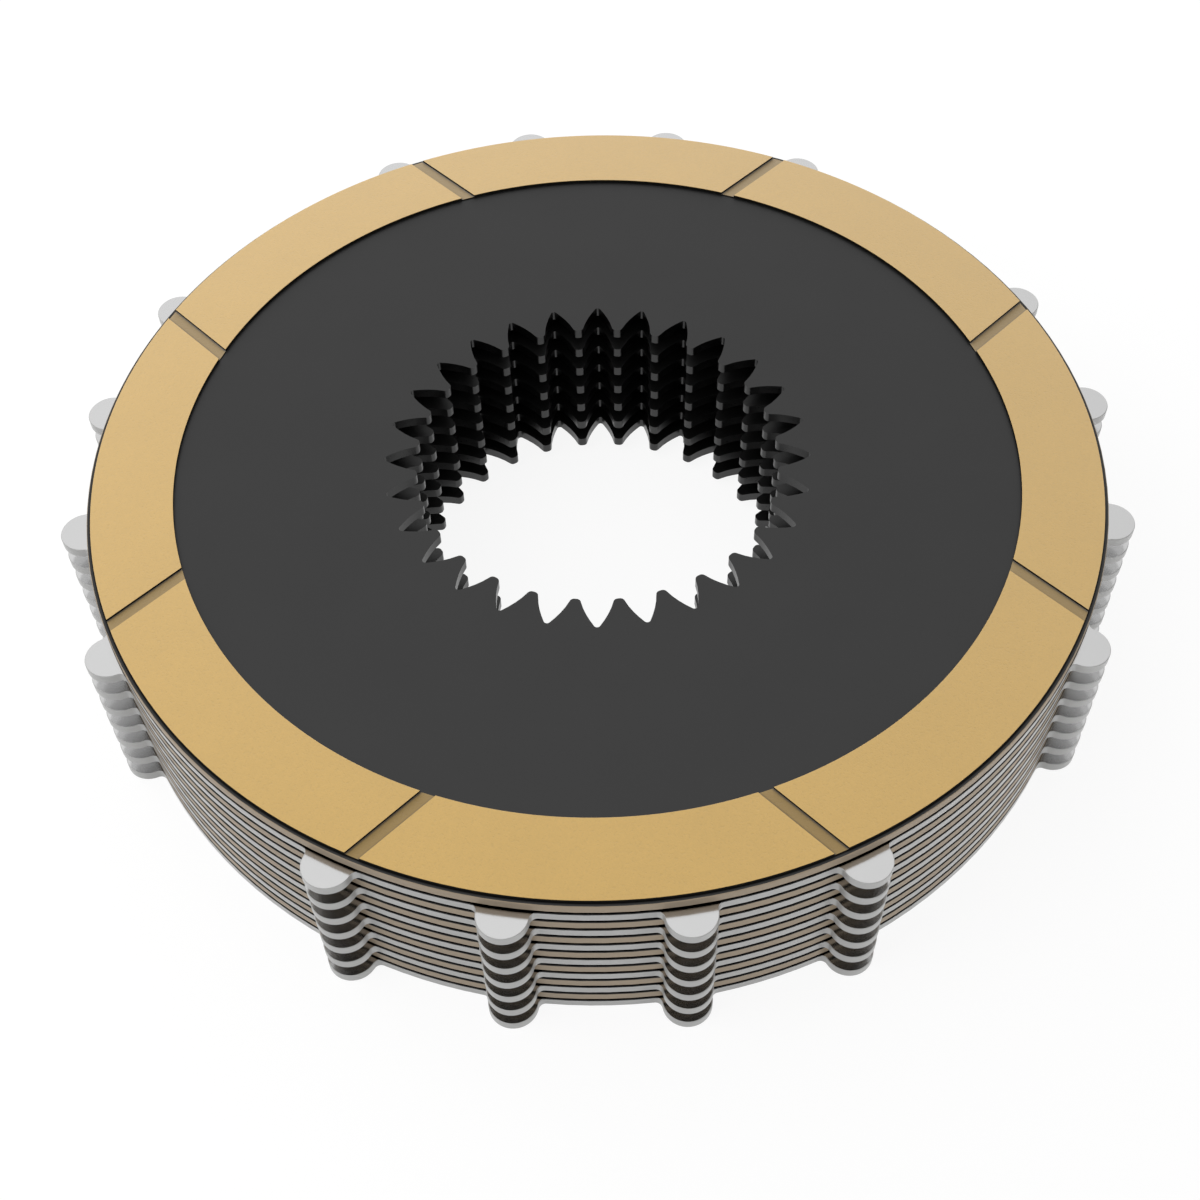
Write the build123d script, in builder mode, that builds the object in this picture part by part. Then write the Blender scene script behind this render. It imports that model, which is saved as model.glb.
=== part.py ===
from build123d import *
import math
import os

# Multi-plate clutch disc pack. Friction plates with an internal spline alternate with
# steel plates that carry driving lugs on their rim. The pack stands on its lowest steel
# plate. The origin is the middle of that plate's underside, and +Z is the clutch's axis.
# All lengths are in millimetres.

# Pack
pair_count = 7  # a pair is one friction plate and the steel plate under it
edge_break = 0.1  # chamfer round the rims of the cores and the edges of the steel plates

# Friction lining, a flat ring bonded to each face of a core
lining_outer_diameter = 152.4
lining_width = 12.2  # from the inner edge to the outer edge
lining_thickness = 0.53
groove_cuts = 4  # straight cuts, each of which crosses the ring twice
groove_first_angle = 45.0  # degrees from +X to the line that the first cut is square to
groove_offset = 26.6  # from the axis to the middle of each cut
groove_width = 2.05
groove_depth = 0.35

# Core of a friction plate, a flat steel disc with a toothed bore
core_thickness = 1.6
core_margin = 0.65  # how far the core's rim stands outside the lining

# Internal involute spline in the core's bore
spline_module = 2.1167  # pitch diameter divided by the number of teeth
spline_teeth = 28
spline_pressure_angle = 25.0
spline_space_width = 3.66  # gap between two teeth, along the pitch circle
spline_addendum = 2.1  # from the pitch circle in to the tooth tips
spline_tip_round = 0.7
spline_root_round = 0.5

# Steel plate, a flat ring with lugs round its rim
steel_thickness = 1.6
steel_rim_margin = 0.65  # how far the rim stands outside the linings that rub on it
steel_bore_margin = 1.0  # how far the ring reaches inside those linings
lug_places = 20  # evenly spaced places for lugs
lug_skip_every = 5  # one place in each run of this many stays bare
lug_width = 7.1
lug_reach = 4.3  # from the rim out to the lug's end
lug_root_round = 1.0

# Radii and heights that follow from the sizes above
lining_outer_radius = lining_outer_diameter / 2
lining_inner_radius = lining_outer_radius - lining_width
groove_length = lining_outer_diameter  # runs out past the lining's edge at both ends
core_outer_radius = lining_outer_radius + core_margin
steel_outer_radius = lining_outer_radius + steel_rim_margin
steel_bore_radius = lining_inner_radius - steel_bore_margin
pair_height = steel_thickness + core_thickness + 2 * lining_thickness

pitch_radius = spline_module * spline_teeth / 2
pressure_angle = math.radians(spline_pressure_angle)
base_radius = pitch_radius * math.cos(pressure_angle)
tooth_tip_radius = pitch_radius - spline_addendum


def involute(angle):
    """Involute function of an angle in radians."""
    return math.tan(angle) - angle


# Angle from the middle of a tooth space to where its flank would meet the base circle
space_base_angle = spline_space_width / (2 * pitch_radius) + involute(pressure_angle)


def space_half_angle(radius):
    """Angle from the middle of a tooth space to its flank, at this radius."""
    return space_base_angle - involute(math.acos(base_radius / radius))


def flank_point(radius):
    """Point of a tooth space's upper flank. The middle of the space lies along +X."""
    angle = space_half_angle(radius)
    return (radius * math.cos(angle), radius * math.sin(angle))


def space_point_radius():
    """Radius at which the two flanks of a tooth space run together, by Newton's method."""
    slope = pressure_angle
    newton_steps = 20
    for _ in range(newton_steps):
        slope -= (involute(slope) - space_base_angle) / math.tan(slope) ** 2
    return base_radius / math.cos(slope)


# Tooth space, from inside the tooth tips out to its rounded bottom
flank_spans = 5  # each flank is a smooth curve through this many points and the bottom
flank_start_radius = max(tooth_tip_radius, base_radius)
flank_end_radius = space_point_radius()
flank_step = (flank_end_radius - flank_start_radius) / flank_spans
flank_radii = [flank_start_radius + span * flank_step for span in range(flank_spans)]
flank_points = [flank_point(radius) for radius in flank_radii] + [(flank_end_radius, 0)]
mouth_overrun = spline_addendum / 2  # how far the cutter reaches inside the tooth tips
mouth_radius = tooth_tip_radius - mouth_overrun
mouth_angle = space_half_angle(flank_start_radius)
mouth_corner = (mouth_radius * math.cos(mouth_angle), mouth_radius * math.sin(mouth_angle))

with BuildSketch() as tooth_space:
    with BuildLine():
        Spline(*flank_points)
        Line(flank_points[0], mouth_corner)
        Line(mouth_corner, (mouth_corner[0], 0))
        mirror(about=Plane.XZ)
    make_face()
    fillet(tooth_space.vertices().sort_by(Axis.X)[-1], spline_root_round)

# The land between two spaces limits the round on a tooth's tip
usable_land = 0.95  # share of the land that the two rounds may take
tip_half_land = tooth_tip_radius * (math.pi / spline_teeth - mouth_angle)
tip_slope = math.acos(base_radius / flank_start_radius)
tip_round_limit = usable_land * tip_half_land * math.tan((math.pi / 2 + tip_slope) / 2)
tip_round = min(spline_tip_round, tip_round_limit)


def on_tip_circle(vertex):
    """True for a corner of a tooth's tip."""
    tolerance = 1e-4
    return math.isclose(math.hypot(vertex.X, vertex.Y), tooth_tip_radius, abs_tol=tolerance)


def on_core_rim(edge):
    """True for an edge that runs round the rim of the core."""
    return edge.geom_type == GeomType.CIRCLE and math.isclose(edge.radius, core_outer_radius)


# Steel core of a friction plate, with its underside at height 0
with BuildPart() as friction_core:
    with BuildSketch() as core_outline:
        Circle(core_outer_radius)
        Circle(tooth_tip_radius, mode=Mode.SUBTRACT)
        with PolarLocations(0, spline_teeth):
            add(tooth_space.sketch, mode=Mode.SUBTRACT)
        fillet(core_outline.vertices().filter_by(on_tip_circle), tip_round)
    extrude(amount=core_thickness)
    chamfer(friction_core.edges().filter_by(on_core_rim), edge_break)

# Friction lining, with its bonded face at height 0 and grooves across the other. Opposite
# cuts are parallel, so each one leaves two slanting grooves in the ring.
with BuildPart() as lining:
    with BuildSketch():
        Circle(lining_outer_radius)
        Circle(lining_inner_radius, mode=Mode.SUBTRACT)
    extrude(amount=lining_thickness)
    with BuildSketch(Plane.XY.offset(lining_thickness)):
        with PolarLocations(groove_offset, groove_cuts, groove_first_angle):
            Rectangle(groove_width, groove_length)
    extrude(amount=-groove_depth, mode=Mode.SUBTRACT)

# Lug, from the plate's bore out to the full round at its end. Its middle lies along +X.
lug_round_radius = lug_width / 2
lug_round_centre = steel_outer_radius + lug_reach - lug_round_radius
lug_length = lug_round_centre - steel_bore_radius
with BuildSketch() as lug:
    with Locations((steel_bore_radius + lug_length / 2, 0)):
        Rectangle(lug_length, lug_width)
    with Locations((lug_round_centre, 0)):
        Circle(lug_round_radius)

lug_pitch = 360 / lug_places
bare_place = lug_skip_every // 2  # the middle one of each run of places
lug_angles = [
    (place + 0.5) * lug_pitch
    for place in range(lug_places)
    if place % lug_skip_every != bare_place
]

# Steel plate, with its underside at height 0. Its outline grows and then shrinks back by
# the radius at the lugs' roots, which rounds only the inner corners.
with BuildPart() as steel_plate:
    with BuildSketch():
        Circle(steel_outer_radius)
        with Locations(*[Location((0, 0, 0), (0, 0, angle)) for angle in lug_angles]):
            add(lug.sketch)
        offset(amount=lug_root_round, kind=Kind.ARC)
        offset(amount=-lug_root_round, kind=Kind.ARC)
        Circle(steel_bore_radius, mode=Mode.SUBTRACT)
    extrude(amount=steel_thickness)
    chamfer(steel_plate.faces().filter_by(Axis.Z).edges(), edge_break)


def place_in_stack(piece, seat, label):
    """Write a copy of a piece that stands on this plane, under this name."""
    with BuildPart(seat) as placed:
        add(piece.part)
    placed.part.label = label
    export_step(placed.part, f"parts/{label}.step")


# The stack, numbered from the top down as the plates are taken out of the clutch
os.makedirs("parts", exist_ok=True)
facing_down = (0, 0, -1)
for number in range(1, pair_count + 1):
    steel_bottom = (pair_count - number) * pair_height
    core_bottom = steel_bottom + steel_thickness + lining_thickness
    core_top = core_bottom + core_thickness
    lower_seat = Plane((0, 0, core_bottom), x_dir=(1, 0, 0), z_dir=facing_down)
    place_in_stack(steel_plate, Plane.XY.offset(steel_bottom), f"steel_plate_{number}")
    place_in_stack(lining, lower_seat, f"lower_lining_{number}")
    place_in_stack(friction_core, Plane.XY.offset(core_bottom), f"friction_core_{number}")
    place_in_stack(lining, Plane.XY.offset(core_top), f"upper_lining_{number}")
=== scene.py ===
import math

import bpy
from mathutils import Matrix, Vector


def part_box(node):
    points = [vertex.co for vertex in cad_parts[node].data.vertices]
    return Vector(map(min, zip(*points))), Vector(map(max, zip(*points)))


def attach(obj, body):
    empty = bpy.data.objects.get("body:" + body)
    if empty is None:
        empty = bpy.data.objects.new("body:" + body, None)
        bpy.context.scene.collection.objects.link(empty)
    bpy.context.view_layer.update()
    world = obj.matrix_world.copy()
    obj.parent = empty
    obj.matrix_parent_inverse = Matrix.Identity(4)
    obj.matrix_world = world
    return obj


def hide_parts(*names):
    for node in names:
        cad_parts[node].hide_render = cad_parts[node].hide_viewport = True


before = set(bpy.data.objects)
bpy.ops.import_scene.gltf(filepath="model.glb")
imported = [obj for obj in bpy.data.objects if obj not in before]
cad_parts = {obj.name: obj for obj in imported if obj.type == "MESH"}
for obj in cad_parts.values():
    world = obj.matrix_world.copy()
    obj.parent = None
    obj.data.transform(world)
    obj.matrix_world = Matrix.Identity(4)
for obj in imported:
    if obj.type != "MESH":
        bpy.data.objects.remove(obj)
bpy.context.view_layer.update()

# Multi-plate clutch disc pack, seen from the front and above on a pale floor.
# All lengths are in metres.

# Names of the plates
TOP_CORE = "friction_core_1"
TOP_LINING = "upper_lining_1"


def node_bottom(name):
    """Height of a node's lower face."""
    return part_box(name)[0].z


def node_top(name):
    """Height of a node's upper face."""
    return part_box(name)[1].z


def node_radius(name):
    """Largest reach of a round node from the clutch's axis."""
    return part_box(name)[1].x


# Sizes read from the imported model
LINING_THICKNESS = node_top(TOP_LINING) - node_top(TOP_CORE)
LINING_RADIUS = node_radius(TOP_LINING)
CORE_RADIUS = node_radius(TOP_CORE)
CORE_TOP = node_top(TOP_CORE)
PACK_HEIGHT = node_top(TOP_LINING)

# Lining: a ring of friction paper that straight cuts groove
LINING_WIDTH = 0.0122  # from the inner edge to the outer edge
LINING_EDGE_ROUND = 0.00004
LINING_SEGMENTS = 240
GROOVE_CUTS = 4
GROOVE_FIRST_ANGLE = math.radians(45)
GROOVE_OFFSET = 0.0266  # from the axis to the middle of each cut
GROOVE_WIDTH = 0.00205
GROOVE_DEPTH = 0.00035

# Steel parts
BORE_RADIUS = 0.0326  # of a core, up to the bottom of its tooth spaces
WALL_FILM = 0.65  # how much less metallic the walls round the rim look than the faces

# Camera, matched to the photograph
PHOTO_WIDTH = 1200  # pixels
FOCAL_LENGTH = 1773.45  # pixels
OPTICAL_CENTRE = (621.02, 644.18)  # pixels from the photograph's top left corner
SENSOR_WIDTH = 36.0  # millimetres
CAMERA_DISTANCE = 0.27148  # from the middle of the top lining's face
CAMERA_ELEVATION = 47.633  # degrees above that face
CAMERA_AZIMUTH = 1.26  # degrees round from the front, towards the right
CAMERA_PITCH = 53.764  # degrees that it looks down
CAMERA_YAW = 1.004  # degrees that it looks to the right of the axis
CAMERA_ROLL = -0.787  # degrees


class Wire:
    """An output socket of a node tree. An expression on wires adds its Math nodes."""

    def __init__(self, socket):
        self.socket = socket
        self.tree = socket.id_data

    def add(self, kind, settings=None, sockets=None, output=0):
        """Add a node to this wire's tree and return the wire of one of its outputs."""
        return add_node(self.tree, kind, settings, sockets, output)

    def math(self, operation, *values):
        """Add a Math node that works on this wire and other values."""
        sockets = dict(enumerate((self,) + values))
        return self.add("ShaderNodeMath", {"operation": operation}, sockets)

    def __add__(self, other):
        return self.math("ADD", other)

    def __radd__(self, other):
        return self.math("ADD", other)

    def __sub__(self, other):
        return self.math("SUBTRACT", other)

    def __rsub__(self, other):
        return self.add("ShaderNodeMath", {"operation": "SUBTRACT"}, {0: other, 1: self})

    def __mul__(self, other):
        return self.math("MULTIPLY", other)

    def __rmul__(self, other):
        return self.math("MULTIPLY", other)

    def __truediv__(self, other):
        return self.math("DIVIDE", other)

    def __abs__(self):
        return self.math("ABSOLUTE")

    def part(self, axis):
        """One coordinate of a vector: X, Y or Z."""
        return self.add("ShaderNodeSeparateXYZ", None, {"Vector": self}, axis)

    def above(self, edge, softness):
        """0 below the edge, 1 above it, with a soft change of this width around it."""
        start, end = edge - softness / 2, edge + softness / 2
        sockets = {"Value": self, "From Min": start, "From Max": end}
        return self.add("ShaderNodeMapRange", {"interpolation_type": "SMOOTHSTEP"}, sockets)

    def mix(self, low, high):
        """A colour that goes from low to high as this wire goes from 0 to 1."""
        sockets = {"Factor": self, "A": low, "B": high}
        return self.add("ShaderNodeMix", {"data_type": "RGBA"}, sockets, output="Result")

    def scaled(self, colour):
        """This colour or vector, times this wire."""
        sockets = {"Vector": colour, "Scale": self}
        return self.add("ShaderNodeVectorMath", {"operation": "SCALE"}, sockets)


def add_node(tree, kind, settings=None, sockets=None, output=0):
    """Add a node with its settings, fill its sockets with values or wires, return an output."""
    node = tree.nodes.new(kind)
    for name, value in (settings or {}).items():
        setattr(node, name, value)
    for key, value in (sockets or {}).items():
        if isinstance(value, Wire):
            tree.links.new(value.socket, node.inputs[key])
        else:
            node.inputs[key].default_value = value
    return Wire(node.outputs[output])


def is_ray(tree, *kinds):
    """1 for a ray of one of these kinds, 0 for others."""
    rays = [add_node(tree, "ShaderNodeLightPath", output=f"Is {kind} Ray") for kind in kinds]
    return sum(rays[1:], rays[0])


class Finish:
    """A material with one Principled shader, and the places and noises that feed it."""

    def __init__(self, name, **constants):
        self.material = bpy.data.materials.new(name)
        self.material.use_nodes = True
        self.tree = self.material.node_tree
        self.shader = self.tree.nodes["Principled BSDF"]
        for socket, value in constants.items():
            self.shader.inputs[socket.replace("_", " ")].default_value = value
        self.place = self.add("ShaderNodeTexCoord", output="Object")
        self.x, self.y, self.z = (self.place.part(axis) for axis in "XYZ")
        self.radius = (self.x * self.x + self.y * self.y).math("SQRT")
        self.facing_up = self.add("ShaderNodeNewGeometry", output="Normal").part("Z")

    def add(self, kind, settings=None, sockets=None, output=0):
        """Add a node to this material and return the wire of one of its outputs."""
        return add_node(self.tree, kind, settings, sockets, output)

    def noise(self, size, detail=2.0):
        """Cloudy noise from 0 to 1, with features of about this size."""
        sockets = {"Vector": self.place, "Scale": 1 / size, "Detail": detail}
        return self.add("ShaderNodeTexNoise", None, sockets)

    def strands(self, length, width, ways):
        """Noise from 0 to 1 drawn out into strands of this size, which lie in several ways."""
        total = 0
        for way in range(ways):
            spin = {"Vector": self.place, "Rotation": (0, 0, math.pi * (way + 0.3) / ways)}
            turned = self.add("ShaderNodeMapping", None, spin)
            spread = {"Vector": turned, "Scale": (1 / length, 1 / width, 1 / width)}
            drawn = self.add("ShaderNodeMapping", None, spread)
            sockets = {"Vector": drawn, "Scale": 1.0, "Detail": 1.0}
            total = total + self.add("ShaderNodeTexNoise", None, sockets)
        return total * (1 / ways)

    def walls(self):
        """1 on a face that stands up or on a broken edge, 0 on a flat one."""
        flat_from = 0.85  # upward or downward share of a flat face's normal
        return 1 - abs(self.facing_up).above(flat_from, 0.1)

    def margin(self):
        """1 on the margin of an upper face that runs outside the linings, 0 elsewhere."""
        blur = 0.0001
        outside = self.radius.above(LINING_RADIUS, blur)
        inside = 1 - self.radius.above(CORE_RADIUS + blur / 2, blur)
        return outside * inside * self.facing_up.above(0.5, 0.2)

    def painted_gap_shade(self):
        """1 where shade is painted: on the margins in the gaps of the pack, and against the top
        lining.
        """
        under_top_face = 0.0005
        shade_reach = 0.0004  # how far the painted shade reaches from the top lining
        in_pack = 1 - self.z.above(CORE_TOP - under_top_face, 0.0002)
        against_lining = 1 - self.radius.above(LINING_RADIUS + shade_reach / 2, shade_reach)
        return self.margin() * in_pack.math("MAXIMUM", against_lining)

    def beside_cut(self):
        """Distance to the side of the nearest groove's middle line. The cuts form a square."""
        across = self.x * math.cos(GROOVE_FIRST_ANGLE) + self.y * math.sin(GROOVE_FIRST_ANGLE)
        along = self.y * math.cos(GROOVE_FIRST_ANGLE) - self.x * math.sin(GROOVE_FIRST_ANGLE)
        return abs(abs(across) - GROOVE_OFFSET).math("MINIMUM", abs(abs(along) - GROOVE_OFFSET))

    def set(self, socket, value):
        """Link a wire to one of the shader's sockets."""
        self.tree.links.new(value.socket, self.shader.inputs[socket])

    def bump(self, height, distance):
        """Raise the surface by this share of a distance."""
        sockets = {"Height": height, "Distance": distance, "Strength": 1.0}
        self.set("Normal", self.add("ShaderNodeBump", None, sockets))


def rgb(red, green, blue):
    """Linear colour of a display colour that is given in steps of 0 to 255."""
    def linear(step):
        share = step / 255
        return share / 12.92 if share <= 0.04045 else ((share + 0.055) / 1.055) ** 2.4
    return (linear(red), linear(green), linear(blue), 1.0)


def friction_paper():
    """Pressed friction paper: tan, felted from short fibres; its grooves get painted shade."""
    finish = Finish("friction_paper", Roughness=0.6, Sheen_Weight=1.0, Sheen_Roughness=0.6)
    face = rgb(207, 166, 78)
    # Painted shade: the groove floor darker than the face, darkest in its corners against the
    # walls
    shaded_groove_floor = rgb(145, 113, 32)
    groove_corner_shade = rgb(44, 33, 12)
    fibres = finish.strands(length=0.0014, width=0.00012, ways=4)
    clouds = finish.noise(size=0.009, detail=3.0)
    pores = finish.noise(size=0.00035).above(0.62, 0.1)
    # Each noise changes the colour's brightness by its own weight, here and on the steel
    shade = (fibres - 0.5) * 0.30 + (clouds - 0.5) * 0.07 - pores * 0.05 + 1.0
    depth = finish.add("ShaderNodeAttribute", {"attribute_name": "depth"}, output="Fac")
    in_groove = depth.above(GROOVE_DEPTH / 2, GROOVE_DEPTH / 10)
    corner_from = GROOVE_WIDTH * 0.40
    corner_blur = GROOVE_WIDTH * 0.24
    in_corner = finish.beside_cut().above(corner_from, corner_blur)
    colour = in_groove.mix(face, in_corner.mix(shaded_groove_floor, groove_corner_shade))
    finish.set("Base Color", shade.scaled(colour))
    finish.bump(fibres - pores * 0.3, distance=0.00003)
    return finish.material


def painted_shade_edge():
    """Cut edges of the friction paper and the walls of its grooves, painted near black as their
    shade.
    """
    finish = Finish("cut_edge_painted_shade", Roughness=0.8, Specular_IOR_Level=0.2)
    # Both tones are painted shade: near black, for walls that sit in shadow
    edge_shade_dark = rgb(6, 5, 4)
    paper = rgb(18, 16, 12)
    layers = finish.noise(size=0.0002)
    finish.set("Base Color", layers.mix(edge_shade_dark, paper))
    finish.bump(layers, distance=0.00002)
    return finish.material


def phosphated_steel():
    """Phosphated core: dark grey faces, bare taupe rim and nearly black teeth."""
    finish = Finish("phosphated_steel")
    face = rgb(69, 69, 69)
    rim = rgb(160, 144, 123)
    teeth = rgb(66, 66, 66)
    # Near-black painted shade for the margins in the gaps and beside the top lining
    gap_shade_colour = rgb(20, 19, 18)
    dull = 0.48  # roughness of the faces
    tooth_gloss = 0.18  # how much smoother the teeth are
    crystals = finish.noise(size=0.0003, detail=3.0)
    clouds = finish.noise(size=0.015, detail=3.0)
    shade = (crystals - 0.5) * 0.16 + (clouds - 0.5) * 0.08 + 1.0
    walls = finish.walls()
    outer = finish.radius.above((CORE_RADIUS + BORE_RADIUS) / 2, 0.001)
    # The margins in the gaps and beside the top lining get painted shade
    colour = finish.painted_gap_shade().mix(walls.mix(face, outer.mix(teeth, rim)), gap_shade_colour)
    finish.set("Base Color", shade.scaled(colour))
    finish.set("Metallic", 1 - walls * outer * WALL_FILM)
    finish.set("Roughness", (crystals - 0.5) * 0.15 - walls * (1 - outer) * tooth_gloss + dull)
    finish.bump(crystals, distance=0.000006)
    return finish.material


def tumbled_steel():
    """Tumbled separator plate: bright satin faces and greyer sheared edges."""
    finish = Finish("tumbled_steel", Metallic=1.0)
    face = rgb(211, 211, 211)
    edge = rgb(181, 181, 180)
    # Near-black painted shade for the margins in the gaps between plates
    gap_shade_colour = rgb(20, 19, 18)
    satin = 0.15  # roughness of the faces
    wall_dullness = 0.2  # how much rougher the sheared walls are
    scratches = finish.strands(length=0.004, width=0.00006, ways=5)
    clouds = finish.noise(size=0.006)
    shade = (scratches - 0.5) * 0.10 + (clouds - 0.5) * 0.03 + 1.0
    walls = finish.walls()
    # The margins in the gaps get painted shade
    colour = finish.painted_gap_shade().mix(walls.mix(face, edge), gap_shade_colour)
    finish.set("Base Color", shade.scaled(colour))
    finish.set("Metallic", 1 - walls * WALL_FILM)
    finish.set("Roughness", walls * wall_dullness + (scratches - 0.5) * 0.1 + satin)
    finish.bump(scratches, distance=0.000004)
    return finish.material


def studio_floor():
    """Pale floor that shows white to the camera and in gloss, and keeps a soft shadow."""
    material = bpy.data.materials.new("studio_floor")
    material.use_nodes = True
    tree = material.node_tree
    tree.nodes.clear()
    white_share = 0.86  # how much of the floor's look is its own white
    white_strength = 1.05  # the glow and the lit paint add up to white
    paint = add_node(tree, "ShaderNodeBsdfDiffuse", None, {"Color": rgb(235, 235, 235)})
    glow = add_node(
        tree, "ShaderNodeEmission", None, {"Color": (1, 1, 1, 1), "Strength": white_strength}
    )
    seen = is_ray(tree, "Camera", "Glossy", "Transmission")
    shaders = {"Fac": seen * white_share, 1: paint, 2: glow}
    floor = add_node(tree, "ShaderNodeMixShader", None, shaders)
    surface = tree.nodes.new("ShaderNodeOutputMaterial").inputs["Surface"]
    tree.links.new(floor.socket, surface)
    return material


class Recipe:
    """A Geometry Nodes tree with named inputs, which makes pieces as plain meshes."""

    SOCKETS = {int: "NodeSocketInt", float: "NodeSocketFloat", "material": "NodeSocketMaterial"}

    def __init__(self, name, inputs):
        self.tree = bpy.data.node_groups.new(name, "GeometryNodeTree")
        self.names = {}
        for label, kind in inputs.items():
            socket = self.tree.interface.new_socket(
                label, in_out="INPUT", socket_type=self.SOCKETS[kind]
            )
            self.names[label] = socket.identifier
        self.tree.interface.new_socket(
            "Geometry", in_out="OUTPUT", socket_type="NodeSocketGeometry"
        )
        self.entry = self.tree.nodes.new("NodeGroupInput")

    def input(self, label):
        """The wire of a named input."""
        return Wire(self.entry.outputs[label])

    def add(self, kind, settings=None, sockets=None, output=0):
        """Add a node to this tree and return the wire of one of its outputs."""
        return add_node(self.tree, kind, settings, sockets, output)

    def end(self, geometry):
        """Hand this geometry out of the tree."""
        outlet = self.tree.nodes.new("NodeGroupOutput")
        self.tree.links.new(geometry.socket, outlet.inputs[0])

    def make(self, name, values):
        """Run the tree with these input values and return the piece it makes."""
        piece = bpy.data.objects.new(name, bpy.data.meshes.new(name))
        bpy.context.scene.collection.objects.link(piece)
        modifier = piece.modifiers.new("recipe", "NODES")
        modifier.node_group = self.tree
        for label, value in values.items():
            modifier[self.names[label]] = value
        graph = bpy.context.evaluated_depsgraph_get()
        mesh = bpy.data.meshes.new_from_object(piece.evaluated_get(graph), depsgraph=graph)
        piece.modifiers.remove(modifier)
        piece.data = mesh
        mesh.name = name
        return piece


def grooved_ring():
    """Recipe for a flat ring with straight grooves across its rubbing face."""
    recipe = Recipe("grooved_ring", {
        "Outer Radius": float,
        "Width": float,
        "Thickness": float,
        "Edge Round": float,
        "Segments": int,
        "Groove Cuts": int,
        "First Angle": float,
        "Groove Offset": float,
        "Groove Width": float,
        "Groove Depth": float,
        "Bonded Height": float,
        "Turned Over": int,
        "Face Material": "material",
        "Edge Material": "material",
    })
    radius = recipe.input("Outer Radius")
    width = recipe.input("Width")
    thickness = recipe.input("Thickness")

    # Ring, as a rounded section swept round a circle
    path_sockets = {"Resolution": recipe.input("Segments"), "Radius": radius - width / 2}
    path = recipe.add("GeometryNodeCurvePrimitiveCircle", None, path_sockets)
    section = recipe.add(
        "GeometryNodeCurvePrimitiveQuadrilateral", None, {"Width": width, "Height": thickness}
    )
    rounded = recipe.add(
        "GeometryNodeFilletCurve",
        {"mode": "POLY"},
        {"Curve": section, "Count": 2, "Radius": recipe.input("Edge Round")},
    )
    ring = recipe.add(
        "GeometryNodeCurveToMesh", None, {"Curve": path, "Profile Curve": rounded}
    )

    # Straight cutters, evenly turned about the axis
    cuts = recipe.input("Groove Cuts")
    turn = recipe.add("GeometryNodeInputIndex") * math.tau / cuts + recipe.input("First Angle")
    heading = recipe.add("ShaderNodeCombineXYZ", None, {"Z": turn})
    size = recipe.add(
        "ShaderNodeCombineXYZ",
        None,
        {
            "X": recipe.input("Groove Width"),
            "Y": radius * 2,
            "Z": recipe.input("Groove Depth") * 2,
        },
    )
    offset = recipe.add(
        "ShaderNodeCombineXYZ", None, {"X": recipe.input("Groove Offset"), "Z": thickness / 2}
    )
    bar = recipe.add("GeometryNodeMeshCube", None, {"Size": size})
    cutter = recipe.add("GeometryNodeTransform", None, {"Geometry": bar, "Translation": offset})
    axis_points = recipe.add(
        "GeometryNodeMeshLine", None, {"Count": cuts, "Offset": (0, 0, 0)}
    )
    cutters = recipe.add(
        "GeometryNodeInstanceOnPoints",
        None,
        {
            "Points": axis_points,
            "Instance": cutter,
            "Rotation": recipe.add("FunctionNodeEulerToRotation", None, {"Euler": heading}),
        },
    )
    solid_cutters = recipe.add("GeometryNodeRealizeInstances", None, {"Geometry": cutters})
    grooved = recipe.add(
        "GeometryNodeMeshBoolean",
        {"operation": "DIFFERENCE", "solver": "MANIFOLD"},
        {"Mesh 1": ring, "Mesh 2": solid_cutters},
    )

    # Depth under the rubbing face, which the finish reads
    depth = thickness / 2 - recipe.add("GeometryNodeInputPosition").part("Z")
    marked = recipe.add(
        "GeometryNodeStoreNamedAttribute",
        None,
        {"Geometry": grooved, "Name": "depth", "Value": depth},
    )

    # Place, with the rubbing face up or turned over
    over = recipe.input("Turned Over")
    middle = recipe.input("Bonded Height") + (1 - 2 * over) * thickness / 2
    tip = recipe.add("ShaderNodeCombineXYZ", None, {"X": over * math.pi})
    placed = recipe.add(
        "GeometryNodeTransform",
        None,
        {
            "Geometry": marked,
            "Translation": recipe.add("ShaderNodeCombineXYZ", None, {"Z": middle}),
            "Rotation": recipe.add("FunctionNodeEulerToRotation", None, {"Euler": tip}),
        },
    )

    # Round walls shade smoothly, and every corner stays sharp
    smooth = recipe.add("GeometryNodeSetShadeSmooth", None, {"Geometry": placed})
    corner_angle = math.radians(15)
    corners = recipe.add("GeometryNodeInputMeshEdgeAngle").math("GREATER_THAN", corner_angle)
    creased = recipe.add(
        "GeometryNodeSetShadeSmooth",
        {"domain": "EDGE"},
        {"Geometry": smooth, "Selection": corners, "Shade Smooth": False},
    )

    whole = recipe.add("GeometryNodeRealizeInstances", None, {"Geometry": creased})
    faced = recipe.add(
        "GeometryNodeSetMaterial",
        None,
        {"Geometry": whole, "Material": recipe.input("Face Material")},
    )
    steep = abs(recipe.add("GeometryNodeInputNormal").part("Z")).math("LESS_THAN", 0.5)
    edged = recipe.add(
        "GeometryNodeSetMaterial",
        None,
        {"Geometry": faced, "Selection": steep, "Material": recipe.input("Edge Material")},
    )
    recipe.end(edged)
    return recipe


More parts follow.
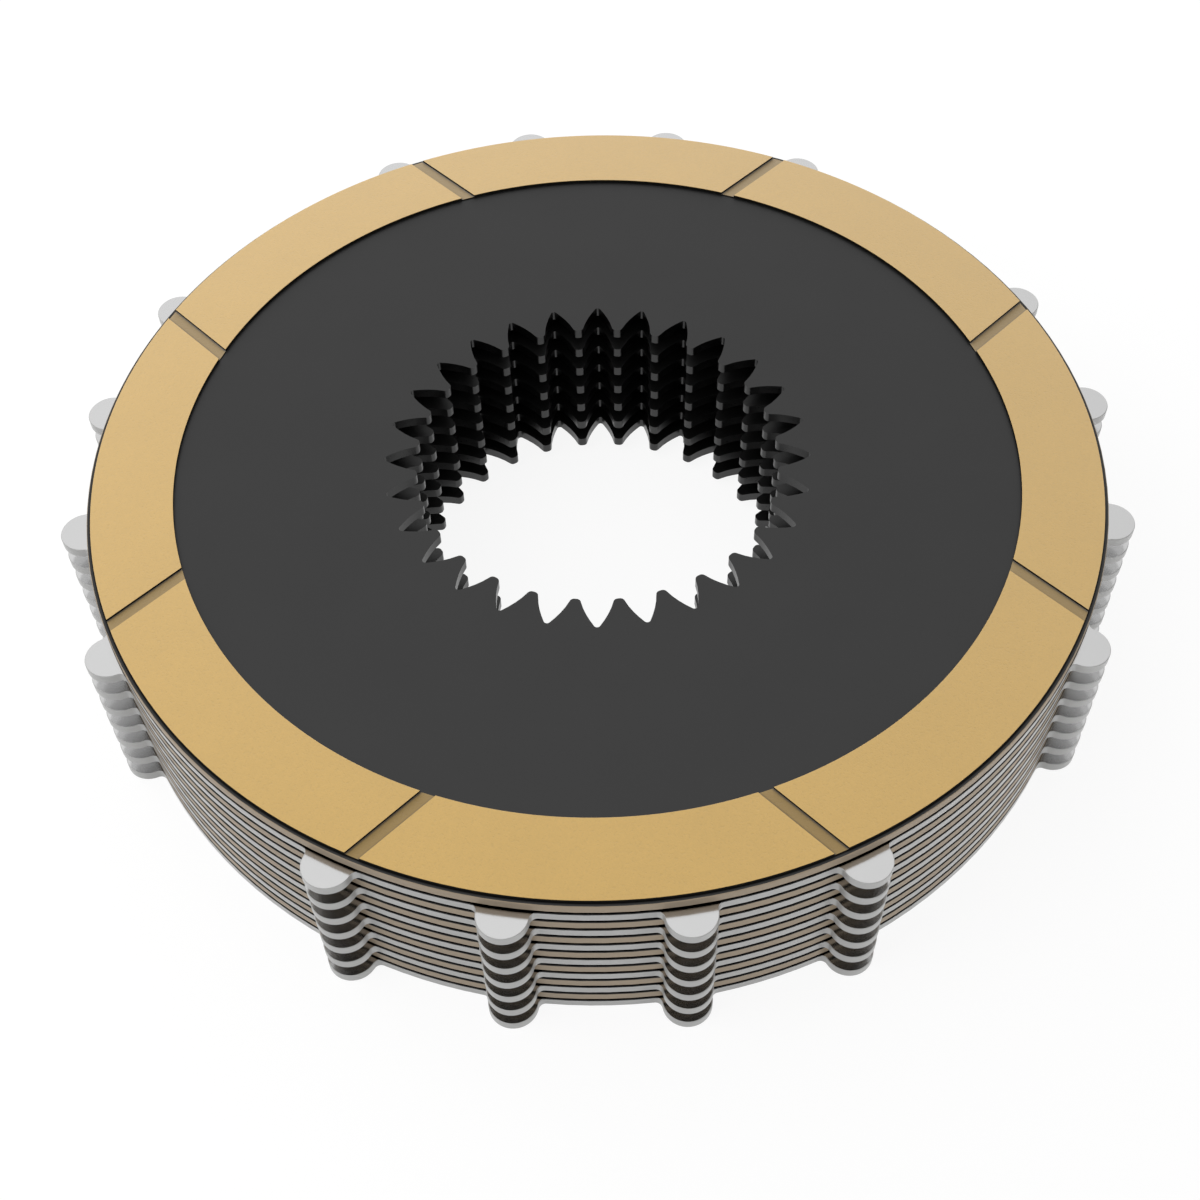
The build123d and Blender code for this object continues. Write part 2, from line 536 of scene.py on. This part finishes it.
def make_linings():
    """One grooved ring for each lining, in the place of its plain solid."""
    ring = grooved_ring()
    values = {
        "Outer Radius": LINING_RADIUS,
        "Width": LINING_WIDTH,
        "Thickness": LINING_THICKNESS,
        "Edge Round": LINING_EDGE_ROUND,
        "Segments": LINING_SEGMENTS,
        "Groove Cuts": GROOVE_CUTS,
        "First Angle": GROOVE_FIRST_ANGLE,
        "Groove Offset": GROOVE_OFFSET,
        "Groove Width": GROOVE_WIDTH,
        "Groove Depth": GROOVE_DEPTH,
        "Face Material": friction_paper(),
        "Edge Material": painted_shade_edge(),
    }
    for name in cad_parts:
        if "_lining_" not in name:
            continue
        turned_over = name.startswith("lower_")
        values["Turned Over"] = int(turned_over)
        values["Bonded Height"] = node_top(name) if turned_over else node_bottom(name)
        lining = ring.make(f"paper_{name}", values)
        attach(lining, "root")
        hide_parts(name)


def finish_steel():
    """Give the cores and the steel plates their materials."""
    finishes = {"friction_core_": phosphated_steel(), "steel_plate_": tumbled_steel()}
    for name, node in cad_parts.items():
        for prefix, material in finishes.items():
            if name.startswith(prefix):
                node.material_slots[0].material = material


def add_floor():
    """A wide disc under the pack."""
    reach = 2.5
    bpy.ops.mesh.primitive_circle_add(vertices=96, radius=reach, fill_type="NGON")
    floor = bpy.context.object
    floor.name = "studio_floor"
    floor.data.materials.append(studio_floor())


def light_room():
    """A room, brighter at the back and on the left, that looks white to the camera.

    A mirroring surface sees it white too, and greyer on the right.
    """
    world = bpy.data.worlds.new("studio")
    bpy.context.scene.world = world
    world.use_nodes = True
    tree = world.node_tree
    heading = add_node(tree, "ShaderNodeTexCoord", output="Generated")
    east, north, up = (heading.part(axis) for axis in "XYZ")
    behind_camera = (-1 * north).math("MAXIMUM", 0)
    evenly = 0.65
    to_the_back = 0.18
    dark_behind_camera = 0.55
    to_the_left = 1.5
    light = evenly + to_the_back * north - dark_behind_camera * behind_camera
    light = light - to_the_left * east * up * (1 - up)
    seen = is_ray(tree, "Camera")
    mirrored = is_ray(tree, "Glossy", "Transmission")
    on_the_right = east.math("MAXIMUM", 0)
    grey_on_the_right = 0.4
    mirror_light = 1 - grey_on_the_right * on_the_right
    strength = seen + mirrored * mirror_light + (1 - seen - mirrored) * light
    background = tree.nodes["Background"].inputs
    tree.links.new(strength.socket, background["Strength"])
    background["Color"].default_value = (1, 1, 1, 1)


def add_soft_box(name, place, size, power):
    """A square lamp that faces the pack."""
    data = bpy.data.lights.new(name, "AREA")
    data.size = size
    data.energy = power
    lamp = bpy.data.objects.new(name, data)
    lamp.visible_glossy = False
    bpy.context.scene.collection.objects.link(lamp)
    aim = (-Vector(place)).to_track_quat("-Z", "Y").to_matrix().to_4x4()
    lamp.matrix_world = Matrix.Translation(place) @ aim


def add_camera():
    """The photograph's camera."""
    data = bpy.data.cameras.new("camera")
    camera = bpy.data.objects.new("camera", data)
    bpy.context.scene.collection.objects.link(camera)
    data.sensor_width = SENSOR_WIDTH
    data.lens = FOCAL_LENGTH / PHOTO_WIDTH * SENSOR_WIDTH
    data.shift_x = 0.5 - OPTICAL_CENTRE[0] / PHOTO_WIDTH
    data.shift_y = OPTICAL_CENTRE[1] / PHOTO_WIDTH - 0.5
    data.clip_start = 0.01
    elevation = math.radians(CAMERA_ELEVATION)
    stand = Vector((0, -math.cos(elevation), math.sin(elevation))) * CAMERA_DISTANCE
    stand += Vector((0, 0, PACK_HEIGHT))
    aim = (
        Matrix.Rotation(math.radians(-CAMERA_YAW), 4, "Z")
        @ Matrix.Rotation(math.radians(90 - CAMERA_PITCH), 4, "X")
        @ Matrix.Rotation(math.radians(CAMERA_ROLL), 4, "Z")
    )
    turn = Matrix.Rotation(math.radians(CAMERA_AZIMUTH), 4, "Z")
    camera.matrix_world = turn @ Matrix.Translation(stand) @ aim
    bpy.context.scene.camera = camera


add_camera()
make_linings()
finish_steel()
add_floor()
light_room()
add_soft_box("key_soft_box", place=(-0.25, -0.15, 0.40), size=0.3, power=0.7)
add_soft_box("left_soft_box", place=(-0.30, 0.20, 0.15), size=0.2, power=0.4)
add_soft_box("right_soft_box", place=(0.32, -0.25, 0.04), size=0.1, power=0.4)
add_soft_box("back_soft_box", place=(0.0, 0.45, 0.12), size=0.2, power=0.75)
bpy.context.scene.view_settings.view_transform = "Standard"
